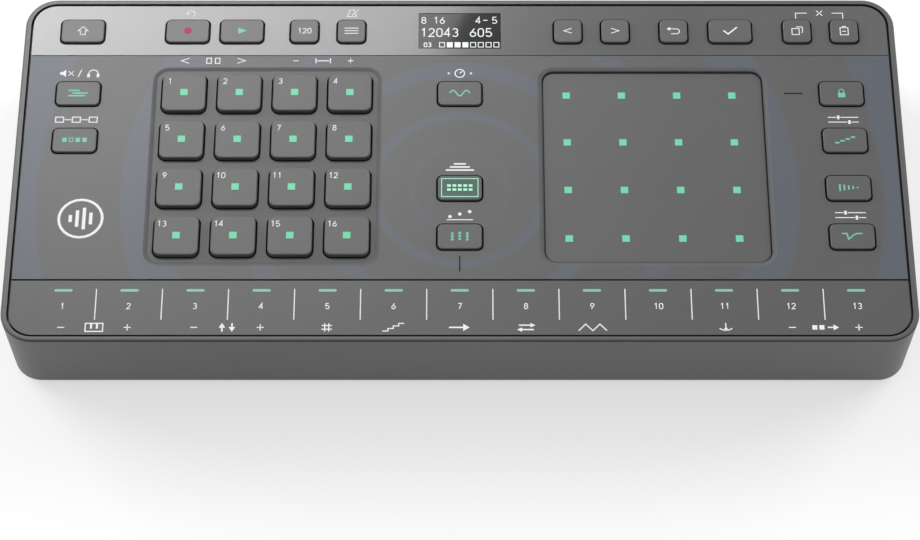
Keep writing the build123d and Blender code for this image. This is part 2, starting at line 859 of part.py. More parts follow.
# Rubber feet
with BuildPart() as rubber_feet:
    with BuildSketch(Plane.XY):
        with GridLocations(2 * foot_x, 2 * foot_y, 2, 2):
            Circle(foot_radius)
    extrude(amount=foot_height + foot_seat)
    fillet(rubber_feet.faces().group_by(Axis.Z)[0].edges(), foot_edge_radius)
save(rubber_feet, "rubber_feet")

# Battery door: a flush cover with finger grooves
with BuildPart() as battery_door:
    with BuildSketch(base_plane):
        with Locations((0, bay_y)):
            Rectangle(door_length, door_width)
    extrude(amount=door_thickness)
    with BuildSketch(base_plane):
        with Locations((0, bay_y)):
            with GridLocations(0, door_grip_pitch, 1, door_grip_count):
                Rectangle(door_grip_width, door_grip_groove)
    extrude(amount=door_grip_depth, mode=Mode.SUBTRACT)
save(battery_door, "battery_door")

# Battery cells, in rows that run left to right
cell_pitch = cell_length + cell_nub_length
row_pitch = 2 * cell_radius + cell_gap
row_start_x = -cells_per_row * cell_pitch / 2
cell_row_ys = [bay_y + (row - (cell_rows - 1) / 2) * row_pitch for row in range(cell_rows)]

with BuildPart() as battery_cells:
    for cell in range(cells_per_row):
        with BuildSketch(Plane.YZ.offset(row_start_x + cell * cell_pitch)):
            with Locations(*[(y, cell_z) for y in cell_row_ys]):
                Circle(cell_radius)
        extrude(amount=cell_length)
        with BuildSketch(Plane.YZ.offset(row_start_x + cell * cell_pitch + cell_length)):
            with Locations(*[(y, cell_z) for y in cell_row_ys]):
                Circle(cell_nub_radius)
        extrude(amount=cell_nub_length - fit_gap)
save(battery_cells, "battery_cells")

# Spring plates at the two ends of each row
with BuildPart() as battery_contacts:
    for x in (row_start_x - contact_thickness - cell_gap / 2, -row_start_x + cell_gap / 2):
        with BuildSketch(Plane.YZ.offset(x)):
            with Locations(*[(y, cell_z) for y in cell_row_ys]):
                Rectangle(contact_size, contact_size)
        extrude(amount=contact_thickness)
save(battery_contacts, "battery_contacts")

# Jack sockets, standing on the main board just inside the rear wall
jack_face_y = rear_wall_y(jack_z) - wall - inside_gap

with BuildPart() as jack_sockets:
    with BuildSketch(rear_plane(jack_face_y)):
        for x in jack_x:
            with Locations((x, main_board_top_z + jack_height / 2)):
                Rectangle(jack_width, jack_height)
    extrude(amount=jack_length)
    with BuildSketch(rear_plane(jack_face_y)):
        for x in jack_x:
            with Locations((x, jack_z)):
                Circle(jack_bore_radius)
    extrude(amount=jack_bore_length, mode=Mode.SUBTRACT)
save(jack_sockets, "jack_sockets")

# Socket for power and data, with the tongue that carries its contacts
usb_face_y = rear_wall_y(usb_z) - fit_gap

with BuildPart() as usb_socket:
    with BuildSketch(rear_plane(usb_face_y)):
        with Locations((usb_x, usb_z)):
            SlotOverall(usb_width, usb_height)
    extrude(amount=usb_length)
    with BuildSketch(rear_plane(usb_face_y)):
        with Locations((usb_x, usb_z)):
            SlotOverall(usb_width - 2 * usb_shell, usb_height - 2 * usb_shell)
    extrude(amount=usb_cavity, mode=Mode.SUBTRACT)
    with BuildSketch(rear_plane(usb_face_y - usb_cavity)):
        with Locations((usb_x, usb_z)):
            Rectangle(usb_tongue_width, usb_tongue_height)
    extrude(amount=-usb_tongue_length)
save(usb_socket, "usb_socket")

# Volume control: a body on the board, and a knob whose stem turns in it
pot_face_y = rear_wall_y(volume_z) - wall - inside_gap
pot_height = volume_lift + pot_width / 2

with BuildPart() as volume_pot:
    with BuildSketch(rear_plane(pot_face_y)):
        with Locations((volume_x, main_board_top_z + pot_height / 2)):
            Rectangle(pot_width, pot_height)
        with Locations((volume_x, volume_z)):
            Circle(stem_radius + stem_fit, mode=Mode.SUBTRACT)
    extrude(amount=pot_length)
save(volume_pot, "volume_pot")

knob_face_y = rear_wall_y(volume_z) + knob_wall_gap + knob_length
stem_length = knob_face_y - pot_face_y + pot_length - inside_gap

with BuildPart() as volume_knob:
    with BuildSketch(rear_plane(knob_face_y)):
        with Locations((volume_x, volume_z)):
            Circle(knob_radius)
            with PolarLocations(knob_radius, knob_flutes):
                Circle(knob_flute_radius, mode=Mode.SUBTRACT)
    extrude(amount=knob_length)
    chamfer(volume_knob.faces().sort_by(Axis.Y)[-1].edges(), knob_chamfer)
    with BuildSketch(rear_plane(knob_face_y)):
        with Locations((volume_x, volume_z)):
            Circle(stem_radius)
    extrude(amount=stem_length)
    with BuildSketch(rear_plane(knob_face_y)):
        with Locations((volume_x, volume_z + knob_radius / 2)):
            SlotOverall(knob_mark_length, knob_mark_width, rotation=90)
    extrude(amount=knob_mark_depth, mode=Mode.SUBTRACT)
save(volume_knob, "volume_knob")

# Power switch: a tab through the slot in the rear wall, on a shoe that keeps the slot covered
shoe_width = slot_width + switch_travel + 2 * switch_shoe_overlap
shoe_height = slot_height + 2 * switch_shoe_overlap
tab_face_y = rear_wall_y(switch_z) + switch_tab_proud

with BuildPart() as power_switch:
    with BuildSketch(rear_plane(switch_inner_y)):
        with Locations((switch_x, switch_z)):
            Rectangle(shoe_width, shoe_height)
    extrude(amount=switch_shoe_thickness)
    with BuildSketch(rear_plane(tab_face_y)):
        with Locations((switch_x, switch_z)):
            Rectangle(switch_tab_width, switch_tab_height)
    extrude(amount=tab_face_y - switch_inner_y)
save(power_switch, "power_switch")
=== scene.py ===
import json
from math import cos, pi, radians, sin

import bmesh
import bpy
from mathutils import Matrix, Vector


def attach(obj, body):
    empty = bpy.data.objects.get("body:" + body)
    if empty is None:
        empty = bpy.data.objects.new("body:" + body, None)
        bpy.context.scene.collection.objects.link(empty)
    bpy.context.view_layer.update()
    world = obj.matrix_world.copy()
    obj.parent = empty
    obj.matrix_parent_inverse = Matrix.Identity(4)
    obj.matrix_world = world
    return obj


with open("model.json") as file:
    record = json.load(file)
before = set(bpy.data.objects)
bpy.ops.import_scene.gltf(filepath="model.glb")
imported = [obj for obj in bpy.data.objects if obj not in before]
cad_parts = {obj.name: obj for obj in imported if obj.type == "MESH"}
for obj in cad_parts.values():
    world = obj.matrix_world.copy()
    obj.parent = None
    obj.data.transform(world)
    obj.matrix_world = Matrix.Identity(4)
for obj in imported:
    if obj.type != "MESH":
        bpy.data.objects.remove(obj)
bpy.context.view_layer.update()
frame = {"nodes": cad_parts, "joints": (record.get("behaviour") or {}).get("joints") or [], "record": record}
cad = frame["nodes"]

MM = 0.001

# Sizes of the prints and lamps, in millimetres on the sloped deck: x to the right, y away from the player
number_height = 1.8
line_width = 0.28
digit_line = 0.27
pad_digit_line = 0.25
sign_line = 0.26
sign_width = 1.7
divider_line = 0.31
print_rise = 0.03
glow_rise = 0.01
print_sink = 0.02
pad_count = 16
pad_number_place = (-4.35, 3.9)
lamp_side = 2.2
touch_rows = 4
touch_pitch = 16.63
touch_shift = -1.0
strip_pitch = 19.126
strip_keys = 13
strip_lamp = (5.3, 0.85, 0.42)
strip_lamp_y = -42.8
strip_number_y = -48.0
strip_label_y = -55.0
divider_low = -52.5
divider_high = -42.3
label_above_button = 7.5
label_scale = 1.2
tray_label_y = 37.0
rear_label_y = 54.5
badge_place = (-111.4, -18.6)
rear_mark_height = 22.0
volume_mark_height = 26.5

# Faint rings printed on the deck: radius, width and strength of each, and how softly their sides fade
rings = (
    (14.2, 1.6, 0.5),
    (25.4, 2.9, 0.9),
    (41.9, 4.9, 1.0),
    (63.3, 6.4, 0.7),
    (93.6, 13.2, 0.9),
    (137.5, 25.0, 1.0),
)
ring_fade = 0.5
ring_centre_y = -8.3

# Finish of the panels and keys: soft edges, grain, painted shade in the recesses, duller bevels, and black
# painted shade on the sides of the gaps, except round the touch panel
edge_radius = 0.15
grain_depth = 0.01
# Painted shade: how much darker the tray's floor and the low part of the recess are
sunk_shade = 0.7
bevel_roughness = 0.55
touch_gap_reach = 50.0
painted_gap_shade = (0.002, 0.002, 0.002, 1)

# Camera, as measured on the photo: it looks squarely at the front, down on the deck
camera_aim = (0.06, -36.0)
camera_distance = 848.0
camera_rise = radians(60.29)
camera_lens = 114.14

# Light: the room's level on its left and right, and the floor as it gives light and as it is seen
room_levels = (0.82, 0.3)
floor_colours = (0.9, 0.49)
floor_glows = (0.0, 0.56)
floor_corners = [(-4, -4, 0), (4, -4, 0), (4, 4, 0), (-4, 4, 0)]
lamp_width = 1.0
lamp_height = 0.7
lamp_aim = Vector((0, 0, 0.03))
card_reach = 900.0
card_middle_y = 48.0


# The sloped deck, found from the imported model

def span(node, axis):
    """Lowest and highest reach of a CAD node along an axis, in metres."""
    along_axis = [vertex.co.dot(axis) for vertex in cad[node].data.vertices]
    return min(along_axis), max(along_axis)


press = next(joint["axis"] for joint in frame["joints"] if joint["name"] == "pad_01_press")
right = Vector((1, 0, 0))
deck_up = -Vector(press).normalized()
deck_away = deck_up.cross(right)
deck_level = span("main_deck", deck_up)[1]
deck_middle = sum(span("top_frame", deck_away)) / 2


def deck_point(x, y, rise=0.0):
    """A point over the deck, from millimetres on it to metres in the frame."""
    return right * (x * MM) + deck_away * (deck_middle + y * MM) + deck_up * (deck_level + rise * MM)


def deck_place(x, y, rise=0.0):
    """The place of a print on the deck, its third axis along the deck's normal."""
    turn = Matrix((right, deck_away, deck_up)).transposed().to_4x4()
    return Matrix.Translation(deck_point(x, y, rise)) @ turn


def middle_of(node):
    """Middle of a CAD node, in millimetres on the deck."""
    x = sum(span(node, right)) / 2 / MM
    y = (sum(span(node, deck_away)) / 2 - deck_middle) / MM
    return x, y


def top_place(node):
    """The place of a print in the middle of the top of a key or panel."""
    rise = (span(node, deck_up)[1] - deck_level) / MM
    return deck_place(*middle_of(node), rise)


# Shader nodes

def feed(tree, socket, value):
    """Sets a socket to a plain value, or links it to the output of another node."""
    if isinstance(value, bpy.types.NodeSocket):
        tree.links.new(value, socket)
    else:
        socket.default_value = value


def add_node(tree, kind, inputs=(), **settings):
    """A new shader node, with its settings and what feeds its inputs."""
    made = tree.nodes.new("ShaderNode" + kind)
    for name, value in settings.items():
        setattr(made, name, value)
    for name, value in dict(inputs).items():
        feed(tree, made.inputs[name], value)
    return made


def part_space(tree):
    """Places in the part's own space, in metres."""
    return add_node(tree, "TexCoord").outputs["Object"]


def noise(tree, scale):
    """Noise through the part's own space."""
    return add_node(tree, "TexNoise", {"Vector": part_space(tree), "Scale": scale}).outputs["Fac"]


def colour_mix(tree, mask, low, high):
    """The low colour where the mask is 0, and the high one where it is 1."""
    return add_node(tree, "Mix", {0: mask, 6: low, 7: high}, data_type="RGBA").outputs[2]


def reach_along(tree, vector, direction):
    """How far a vector reaches along a direction."""
    return add_node(tree, "VectorMath", {0: vector, 1: direction}, operation="DOT_PRODUCT").outputs["Value"]


def distance_from(tree, point):
    """How far a place on the part is from a point, in metres."""
    ends = {0: part_space(tree), 1: point}
    return add_node(tree, "VectorMath", ends, operation="DISTANCE").outputs["Value"]


def larger(tree, first, second):
    """The larger of two values."""
    return add_node(tree, "Math", {0: first, 1: second}, operation="MAXIMUM").outputs["Value"]


def step(tree, value, low, high):
    """0 at the low value, 1 at the high one, and even between them."""
    return add_node(tree, "MapRange", {"Value": value, "From Min": low, "From Max": high}).outputs["Result"]


def blend(tree, mask, low, high):
    """The low value where the mask is 0, and the high one where it is 1."""
    return add_node(tree, "MapRange", {"Value": mask, "To Min": low, "To Max": high}).outputs["Result"]


# Masks that tell the places on a part apart

def lying_mask(tree, low=0.3, high=0.6):
    """0 on faces that stand upright on the deck, and 1 on those that lie along it."""
    facing = add_node(tree, "NewGeometry").outputs["True Normal"]
    return step(tree, reach_along(tree, facing, deck_up), low, high)


def height_mask(tree, low, high):
    """0 below a level and 1 above another, both in millimetres from the deck's surface."""
    height = reach_along(tree, part_space(tree), deck_up)
    return step(tree, height, deck_level + low * MM, deck_level + high * MM)


def inward_mask(tree):
    """0 on the walls that face the middle of the deck, and 1 elsewhere."""
    place = add_node(tree, "NewGeometry")
    ends = {0: place.outputs["Position"], 1: deck_point(0, 0)}
    outward = add_node(tree, "VectorMath", ends, operation="SUBTRACT").outputs["Vector"]
    return step(tree, reach_along(tree, outward, place.outputs["True Normal"]), -0.02, -0.005)


def touch_gap_mask(tree):
    """1 round the touch panel, whose gap is wide enough for some light, and 0 elsewhere."""
    distance = distance_from(tree, top_place("touch_pad").translation)
    return step(tree, distance, (touch_gap_reach + 0.5) * MM, touch_gap_reach * MM)


def ring_mask(tree):
    """The strength of the printed rings, which is 0 between them and below the deck's surface."""
    outermost = max(radius + width for radius, width, strength in rings) * MM
    distance = distance_from(tree, deck_point(0, ring_centre_y))
    ramp = add_node(tree, "ValToRGB", {"Fac": step(tree, distance, 0.0, outermost)})
    stops = ramp.color_ramp.elements
    stops.remove(stops[1])
    stops[0].color = (0, 0, 0, 1)
    for radius, width, strength in rings:
        for side, level in ((-1, 0), (-1, strength), (1, strength), (1, 0)):
            fade = ring_fade if level == 0 else -ring_fade
            stop = (radius + side * (width / 2 + fade)) * MM / outermost
            stops.new(stop).color = (level, level, level, 1)
    factors = {0: ramp.outputs["Color"], 1: height_mask(tree, -0.1, -0.05)}
    return add_node(tree, "Math", factors, operation="MULTIPLY").outputs["Value"]


# Materials

def surface(name, roughness, metallic=0.0, specular=0.5):
    """A new material, its tree and its shader."""
    made = bpy.data.materials.new(name)
    made.use_nodes = True
    shader = made.node_tree.nodes["Principled BSDF"]
    shader.inputs["Roughness"].default_value = roughness
    shader.inputs["Metallic"].default_value = metallic
    shader.inputs["Specular IOR Level"].default_value = specular
    return made, made.node_tree, shader


def shade(colour, factor=1.0):
    """A colour made lighter or darker, with full cover."""
    return [channel * factor for channel in colour] + [1.0]


def mottle(tree, shader, colour, scale=40.0, spread=0.06):
    """Slow, slight changes of colour, as a moulded or painted face has."""
    mixed = colour_mix(tree, noise(tree, scale), shade(colour, 1 - spread), shade(colour, 1 + spread))
    feed(tree, shader.inputs["Base Color"], mixed)
    return mixed


def grain(tree, shader, scale=2600.0, strength=0.25, edge=0.0):
    """Fine moulded grain, on edges that are softened by a small radius."""
    relief = {"Height": noise(tree, scale), "Strength": strength, "Distance": grain_depth * MM}
    bump = add_node(tree, "Bump", relief)
    if edge:
        soft_edge = add_node(tree, "Bevel", {"Radius": edge * MM})
        feed(tree, bump.inputs["Normal"], soft_edge.outputs["Normal"])
    feed(tree, shader.inputs["Normal"], bump.outputs["Normal"])


def duller(tree, shader, roughness, mask):
    """Another roughness where the mask is 0."""
    socket = shader.inputs["Roughness"]
    plain = socket.links[0].from_socket if socket.links else socket.default_value
    feed(tree, socket, blend(tree, mask, roughness, plain))


def shaded_gap(tree, shader, mask):
    """The sides of a narrow gap get black painted shade, and are dull, where the mask is 0."""
    socket = shader.inputs["Base Color"]
    plain = socket.links[0].from_socket
    # Black painted shade over the plain colour on the sides of the gap
    feed(tree, socket, colour_mix(tree, mask, painted_gap_shade, plain))
    duller(tree, shader, 1.0, mask)


def plastic(name, colour, roughness, specular=0.5, grain_strength=0.25):
    """Plain moulded plastic."""
    made, tree, shader = surface(name, roughness, specular=specular)
    mottle(tree, shader, colour)
    grain(tree, shader, strength=grain_strength)
    return made


def panel(name, colour, roughness, specular=0.5, grain_strength=0.25):
    """A deck panel: satin plastic with soft edges, and black painted shade on the sides of its gaps and
    holes.
    """
    made, tree, shader = surface(name, roughness, specular=specular)
    mottle(tree, shader, colour)
    grain(tree, shader, strength=grain_strength, edge=edge_radius)
    shaded_gap(tree, shader, lying_mask(tree))
    return made


def key_plastic(name, colour, roughness, gap_level):
    """A pad or button: as a panel, but with black painted shade below a level, down in its hole."""
    made, tree, shader = surface(name, roughness)
    mottle(tree, shader, colour)
    grain(tree, shader, edge=edge_radius)
    shaded_gap(tree, shader, height_mask(tree, gap_level - 0.1, gap_level))
    return made


def rim_plastic(name, colour, roughness):
    """The rim: as the case, but with dark painted shade on the walls of the well that the panels lie in."""
    made, tree, shader = surface(name, roughness)
    mottle(tree, shader, colour)
    grain(tree, shader)
    shaded_gap(tree, shader, inward_mask(tree))
    return made


def ringed_panel(name, colour, ring_colour, roughness):
    """The deck's panel, with painted shade in its tray and recess and on the sides of its gaps, and faint
    rings printed on it.
    """
    made, tree, shader = surface(name, roughness)
    plain = mottle(tree, shader, colour)
    grain(tree, shader, edge=edge_radius)
    # Painted shade: the tray's floor and the low part of the recess are darker
    sunk = colour_mix(tree, height_mask(tree, -0.2, -0.1), shade(colour, sunk_shade), plain)
    printed = colour_mix(tree, ring_mask(tree), sunk, shade(ring_colour))
    feed(tree, shader.inputs["Base Color"], printed)
    duller(tree, shader, bevel_roughness, lying_mask(tree, 0.988, 0.996))
    # Black painted shade on the sides of the gaps, but not round the touch panel
    shaded_gap(tree, shader, larger(tree, lying_mask(tree), touch_gap_mask(tree)))
    return made


def metal(name, colour, roughness):
    """Plated or pressed metal."""
    made, tree, shader = surface(name, roughness, metallic=1.0)
    mottle(tree, shader, colour, scale=300.0, spread=0.1)
    grain(tree, shader, scale=6000.0, strength=0.15)
    return made


def lit_window(name, colour, strength):
    """A lit window: its light comes from emission, a little uneven."""
    made, tree, shader = surface(name, 0.4)
    shader.inputs["Base Color"].default_value = shade(colour, 0.1)
    uneven = colour_mix(tree, noise(tree, 900.0), shade(colour, 0.92), shade(colour, 1.08))
    feed(tree, shader.inputs["Emission Color"], uneven)
    shader.inputs["Emission Strength"].default_value = strength
    return made


def ink(name, colour):
    """Dull printing ink."""
    made, tree, shader = surface(name, 0.6, specular=0.2)
    mottle(tree, shader, colour, scale=700.0, spread=0.03)
    return made


grey = (0.092, 0.092, 0.093)
light_grey = (0.1, 0.1, 0.101)
finishes = {
    # The case is the rim's plastic, painted a little lighter: painted light for its walls, which get less
    # light from the room
    "case_plastic": plastic("case plastic", (0.11, 0.11, 0.111), 0.45, specular=0.4),
    "deck_plastic": ringed_panel("deck plastic", grey, (0.092, 0.1035, 0.1276), 0.36),
    "gloss_panel": panel("gloss panel", (0.116, 0.116, 0.117), 0.1, specular=0.45, grain_strength=0.01),
    "touch_surface": panel("touch surface", grey, 0.36),
    "pad_plastic": key_plastic("pad plastic", (0.09, 0.09, 0.091), 0.38, -0.2),
    "button_plastic": key_plastic("button plastic", grey, 0.38, 0.0),
    "display_glass": plastic("display glass", (0.003, 0.003, 0.004), 0.05, specular=0.25,
                             grain_strength=0.01),
    "silicone": plastic("silicone", (0.45, 0.46, 0.47), 0.6),
    "board": plastic("solder mask", (0.02, 0.09, 0.05), 0.4),
    "lamp": lit_window("green lamp", (0.15, 0.7, 0.41), 0.8),
    "cable": plastic("cable film", (0.6, 0.6, 0.57), 0.5),
    "socket_metal": metal("plated metal", (0.6, 0.6, 0.6), 0.3),
    "socket_plastic": plastic("black moulding", (0.02, 0.02, 0.021), 0.45),
    "knob_plastic": plastic("knob plastic", (0.05, 0.05, 0.052), 0.4),
    "cell_sleeve": plastic("cell sleeve", (0.25, 0.26, 0.28), 0.35),
    "contact_metal": metal("contact metal", (0.62, 0.61, 0.58), 0.35),
    "foot_rubber": plastic("foot rubber", (0.03, 0.03, 0.03), 0.8),
    "print_white": ink("white print", (0.94, 0.95, 0.96)),
}
top_row = ("shift", "record", "play", "tempo", "menu", "left", "right", "back", "enter", "copy", "paste")
# The top-row keys are a lighter, less rough copy of the buttons' plastic: the lighter colour is painted light
# for their brighter sheen
row_plastic = key_plastic("top row plastic", light_grey, 0.345, 0.0)
own_finishes = {f"{key}_button": row_plastic for key in top_row}
own_finishes["top_frame"] = rim_plastic("rim plastic", light_grey, 0.36)
own_finishes["touch_strip"] = panel("strip plastic", (0.086, 0.086, 0.087), 0.36)

white_ink = finishes["print_white"]
green_lamp = finishes["lamp"]
green_ink = lit_window("lit green legend", (0.15, 0.58, 0.36), 0.85)
strip_green = lit_window("strip lamp", (0.22, 0.55, 0.4), 0.82)
pale_green = lit_window("lit outline", (0.42, 0.85, 0.62), 0.95)
key_glow = lit_window("lit key face", (0.03, 0.085, 0.065), 1.0)
display_light = lit_window("display light", (0.85, 0.88, 0.9), 0.95)
red_ink = ink("red print", (0.5, 0.07, 0.13))
pale_ink = ink("pale print", (0.92, 0.92, 0.93))
dark_ink = ink("dark print", (0.01, 0.01, 0.011))

for part in frame["record"]["subparts"]:
    body = cad[part["node"]]
    body.data.materials.clear()
    body.data.materials.append(own_finishes.get(part["node"], finishes[part["material_slot"]]))


# Flat shapes for the prints: each is a list of faces, and a face is a list of points in millimetres

def join(shapes):
    """The faces of several shapes as one list."""
    return [face for shape in shapes for face in shape]


def bar(x, y, width, height):
    """A filled box about a point."""
    half_width = width / 2
    half_height = height / 2
    return [[(x - half_width, y - half_height), (x + half_width, y - half_height),
             (x + half_width, y + half_height), (x - half_width, y + half_height)]]


def arc(x, y, radius, start, end, steps=20):
    """Points on an arc, its angles in degrees."""
    angles = [radians(start + (end - start) * i / steps) for i in range(steps + 1)]
    return [(x + radius * cos(angle), y + radius * sin(angle)) for angle in angles]


def circle(x, y, radius):
    """Points all round a circle."""
    return arc(x, y, radius, 0, 345, 23)


def disc(x, y, radius):
    """A filled circle."""
    return [circle(x, y, radius)]


def rounded_bar(x, y, width, height, radius):
    """A filled box with round corners."""
    across = width / 2 - radius
    up = height / 2 - radius
    corners = ((1, -1, -90), (1, 1, 0), (-1, 1, 90), (-1, -1, 180))
    return [join(arc(x + side * across, y + end * up, radius, start, start + 90, 6)
                 for side, end, start in corners)]


def stroke(points, closed=False, width=line_width):
    """A line of even width through the points, with a face for each stretch of it."""
    path = [Vector(point) for point in points]
    count = len(path)
    edges = []
    for i, here in enumerate(path):
        at_start = i == 0 and not closed
        at_end = i == count - 1 and not closed
        arriving = (here - path[i - 1]).normalized()
        leaving = (path[(i + 1) % count] - here).normalized()
        if at_start:
            arriving = leaving
        if at_end:
            leaving = arriving
        across = Vector((-arriving.y - leaving.y, arriving.x + leaving.x)).normalized()
        reach = width / 2 / across.dot(Vector((-leaving.y, leaving.x)))
        edges.append((here - across * reach, here + across * reach))
    stretches = count if closed else count - 1
    faces = []
    for i in range(stretches):
        start, end = edges[i], edges[(i + 1) % count]
        faces.append([tuple(point) for point in (start[0], end[0], end[1], start[1])])
    return faces


def frame_of(x, y, width, height, line=line_width):
    """A box drawn as a line."""
    return stroke(bar(x, y, width, height)[0], closed=True, width=line)


def ring(x, y, radius, line=line_width):
    """A circle drawn as a line."""
    return stroke(circle(x, y, radius), closed=True, width=line)


def moved(faces, x, y, scale=1.0):
    """A shape scaled about its own middle, and set at a point."""
    return [[(px * scale + x, py * scale + y) for px, py in face] for face in faces]


def digit(sign):
    """The lines of a digit two units high, each with whether it is closed."""
    oval = arc(0, 0.45, 0.55, 0, 180, 10) + arc(0, -0.45, 0.55, 180, 360, 10)
    drawn = {
        "0": [(oval, True)],
        "1": [([(-0.35, 0.62), (0.1, 1.0), (0.1, -1.0)], False)],
        "2": [(arc(0, 0.45, 0.55, 165, -35, 10) + [(-0.55, -1.0), (0.6, -1.0)], False)],
        "3": [(arc(0, 0.5, 0.5, 150, -75, 10) + arc(0, -0.45, 0.55, 75, -150, 10), False)],
        "4": [([(0.6, -0.45), (-0.62, -0.45), (0.25, 1.0), (0.25, -1.0)], False)],
        "5": [([(0.5, 1.0), (-0.42, 1.0), (-0.5, 0.05)] + arc(0, -0.4, 0.6, 120, -150, 10), False)],
        "6": [(arc(0, -0.42, 0.56, 145, 490, 20), True), ([(0.3, 1.0), (-0.46, -0.1)], False)],
        "7": [([(-0.55, 1.0), (0.55, 1.0), (-0.15, -1.0)], False)],
        "8": [(arc(0, 0.5, 0.46, 0, 345, 20), True), (arc(0, -0.46, 0.54, 0, 345, 20), True)],
        "9": [(arc(0, 0.42, 0.56, -35, 310, 20), True), ([(-0.3, -1.0), (0.46, 0.1)], False)],
    }
    return drawn[sign]


def number(digits, height=number_height, x=0.0, y=0.0, line=digit_line):
    """A number in plain digits, centred on a point."""
    unit = height / 2
    advance = 1.65 * unit
    faces = []
    for i, sign in enumerate(digits):
        place = x + (i - (len(digits) - 1) / 2) * advance
        for points, closed in digit(sign):
            faces += moved(stroke(points, closed, line / unit), place, y, unit)
    return faces


def plus(x, y):
    return bar(x, y, sign_width, sign_line) + bar(x, y, sign_line, sign_width)


def minus(x, y):
    return bar(x, y, sign_width, sign_line)


def chevron(x, y, way):
    """An angle bracket that points to the left for way -1, or to the right for way 1."""
    return stroke([(x - 1.2 * way, y + 0.9), (x + 1.2 * way, y), (x - 1.2 * way, y - 0.9)], width=0.26)


# Pictograms that stand in for the words on the keys and panels, each drawn about its own middle

def shift_arrow():
    outline = [(0, 1.5), (1.5, 0), (0.75, 0), (0.75, -1.4), (-0.75, -1.4), (-0.75, 0), (-1.5, 0)]
    return stroke(outline, closed=True)


def play_sign():
    return [[(-1.15, -1.15), (1.45, 0), (-1.15, 1.15)]]


def menu_bars():
    return join(bar(0, y, 4.2, 0.3) for y in (0.95, 0, -0.95))


def back_arrow():
    hook = [(-1.0, 0.7), (0.9, 0.7)] + arc(0.9, -0.2, 0.9, 80, -80, 8) + [(0.9, -1.1), (-0.8, -1.1)]
    return stroke(hook) + [[(-2.1, 0.7), (-1.0, 0.0), (-1.0, 1.4)]]


def tick():
    return stroke([(-2.0, 0.1), (-0.6, -1.2), (2.2, 1.3)], width=0.45)


def copy_sheets():
    behind = stroke([(-0.2, 1.4), (1.7, 1.4), (1.7, -0.6), (1.4, -0.6)])
    return frame_of(-0.4, -0.3, 2.2, 2.2) + behind


def clipboard():
    return frame_of(0, -0.2, 2.4, 2.6) + bar(0, 1.4, 1.2, 0.6) + bar(0, -0.2, 1.2, 0.3)


def lanes():
    return bar(-1.2, 0.95, 3.4, 0.5) + bar(0.6, 0, 4.6, 0.5) + bar(-0.4, -0.95, 5.0, 0.5)


def step_row():
    return join(bar(x, 0, 1.3, 1.5) for x in (-3.0, 1.0, 3.0)) + frame_of(-1.0, 0, 1.1, 1.3, 0.25)


def wave():
    points = [(-3 + 6 * i / 48, 1.0 * sin(3 * pi * i / 48)) for i in range(49)]
    return stroke(points, width=0.42)


def key_grid():
    return join(bar(x, y, 1.1, 0.8) for x in (-3.2, -1.6, 0, 1.6, 3.2) for y in (-0.7, 0.7))


def stacked_notes():
    columns = ((-2.2, -1.1), (0, -0.9), (2.2, -1.1))
    return join(disc(x, y, 0.42) for x, low in columns for y in (low, low + 1.0, low + 2.0))


def padlock():
    shackle = [(-0.7, 0.1)] + arc(0, 0.7, 0.7, 180, 0, 10) + [(0.7, 0.1)]
    return bar(0, -0.7, 2.2, 1.6) + stroke(shackle)


def rising_steps():
    return join(bar(-2.4 + 1.6 * i, -1.0 + 0.65 * i, 1.3, 0.55) for i in range(4))


def echoes():
    return join(bar(-2.6 + 1.3 * i, 0, 0.5, 2.4 - 0.48 * i) for i in range(5))


def dip():
    return stroke([(-3.0, 0.9), (-1.6, 0.9), (-1.2, -1.0), (0.4, 0.4), (1.4, 0.9), (3.0, 0.9)], width=0.42)


def cross():
    arms = join(stroke([(0.9 * x, 0.9 * y), (0.2 * x, 0.2 * y)])
                for x, y in ((-1, -1), (1, 1), (-1, 1), (1, -1)))
    return arms + disc(0, 0, 0.2)


def speaker_and_headphones():
    speaker = [[(-5.0, -0.4), (-4.3, -0.4), (-3.5, -1.1), (-3.5, 1.1), (-4.3, 0.4), (-5.0, 0.4)]]
    slash = stroke([(-0.4, -1.1), (0.4, 1.1)])
    band = stroke(arc(3.4, -0.2, 1.2, 180, 0, 14))
    ears = bar(2.2, -0.7, 0.7, 1.0) + bar(4.6, -0.7, 0.7, 1.0)
    return speaker + moved(cross(), -2.2, 0, 0.75) + slash + band + ears


def chain():
    boxes = join(frame_of(x, 0, 2.0, 1.5) for x in (-4.2, 0, 4.2))
    return boxes + bar(-2.1, 0, 1.6, line_width) + bar(2.1, 0, 1.6, line_width)


def sliders():
    """Two level sliders, with their handles at different places."""
    faces = []
    for y, handle in ((0.7, -1.2), (-0.7, 1.5)):
        faces += bar((handle - 4.3) / 2, y, handle + 3.3, 0.24)
        faces += bar(handle, y, 0.6, 1.1)
        faces += bar((handle + 4.3) / 2, y, 3.3 - handle, 0.24)
    return faces


def knob_sign():
    return ring(0, 0, 1.2) + stroke([(0, 0), (0.6, 0.6)]) + disc(-2.8, 0, 0.3) + disc(2.8, 0, 0.3)


def stacked_bars():
    return bar(0, 0.9, 3.0, 0.45) + bar(0, 0, 5.0, 0.45) + bar(0, -0.9, 7.0, 0.45)


def spread_notes():
    return disc(-2.4, -0.4, 0.45) + disc(0, 0.3, 0.45) + disc(2.4, 1.0, 0.45) + bar(0, -1.3, 6.4, 0.26)


def undo_arrow():
    return stroke(arc(0.2, -0.2, 1.1, -60, 170, 14)) + [[(-1.6, 0.1), (-0.2, 0.1), (-0.9, -1.0)]]


def metronome():
    box = stroke([(-1.3, -1.2), (1.3, -1.2), (0.7, 1.2), (-0.7, 1.2)], closed=True)
    return box + stroke([(0, -0.7), (1.9, 1.3)])


def pages():
    return frame_of(-1.3, 0, 1.4, 1.9, 0.3) + frame_of(1.3, 0, 1.4, 1.9, 0.3)


